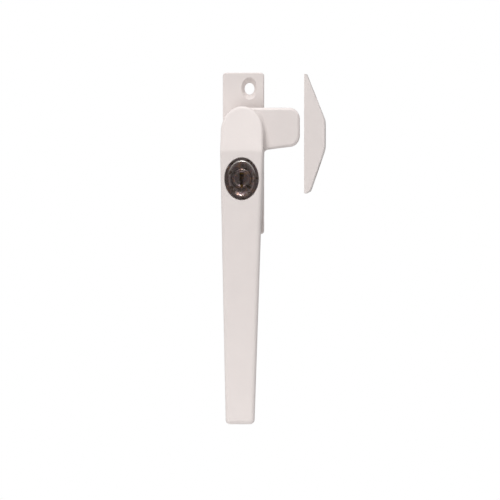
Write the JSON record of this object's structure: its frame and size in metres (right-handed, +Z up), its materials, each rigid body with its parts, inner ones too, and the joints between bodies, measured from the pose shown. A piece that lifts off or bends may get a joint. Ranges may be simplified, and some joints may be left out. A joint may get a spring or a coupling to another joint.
{
  "type": "keyed window lock",
  "caption": "Keyed casement window lock: base plate, swinging lever with a tongue and key cylinder, and a separate strike wedge.",
  "frame": {"origin": "centre of the base plate's flat back face", "axes": "+Y into the sash that the plate is screwed to, +Z up along the plate and the closed lever, +X towards the tongue and the strike"},
  "size_m": [0.0417, 0.0195, 0.1408],
  "materials": {
    "white_paint": "satin white powder coat on die-cast zinc",
    "dark_chrome": "dark polished chrome, lightly scratched",
    "brass": "bare stamped brass",
    "zinc_steel": "bright zinc plate",
    "bearing_steel": "polished",
    "spring_steel": "oiled spring steel",
    "nylon": "natural nylon"
  },
  "bodies": {
    "base": {"base_plate": "white_paint", "detent_ball": "bearing_steel", "detent_spring": "spring_steel", "spindle_bush": "nylon", "flat_washer": "zinc_steel", "wave_washer": "spring_steel"},
    "lever": {"handle_lever": "white_paint", "pivot_spindle": "zinc_steel", "retaining_ring": "spring_steel", "lock_cylinder_body": "dark_chrome", "cylinder_clip": "spring_steel", "lock_cover": "zinc_steel", "cover_screw_1": "zinc_steel", "cover_screw_2": "zinc_steel", "cover_screw_3": "zinc_steel"},
    "plug": {"lock_plug": "dark_chrome", "plug_circlip": "spring_steel", "wafer_1": "brass", "wafer_2": "brass", "wafer_3": "brass", "wafer_4": "brass", "wafer_spring_1": "spring_steel", "wafer_spring_2": "spring_steel", "wafer_spring_3": "spring_steel", "wafer_spring_4": "spring_steel"},
    "bolt": {"locking_bolt": "zinc_steel"},
    "strike": {"strike_wedge": "white_paint"}
  },
  "joints": [
    {"name": "handle_turn", "type": "hinge", "parent": "base", "child": "lever", "pos_m": [0, 0, 0.0084], "axis": [0, 1, 0], "range_deg": [0, 90]},
    {"name": "key_turn", "type": "hinge", "parent": "lever", "child": "plug", "pos_m": [0, 0, -0.0104], "axis": [0, 1, 0], "range_deg": [0, 90]},
    {"name": "bolt_slide", "type": "slide", "parent": "lever", "child": "bolt", "axis": [0, 0, 1], "range_m": [0, 0.00233]},
    {"name": "strike_away", "type": "slide", "parent": "base", "child": "strike", "axis": [1, 0, 0], "range_m": [0, 0.03]}
  ],
  "couplings": [
    {"joint": "key_turn", "follows": "bolt_slide", "rad_per_m": 673.15}
  ]
}
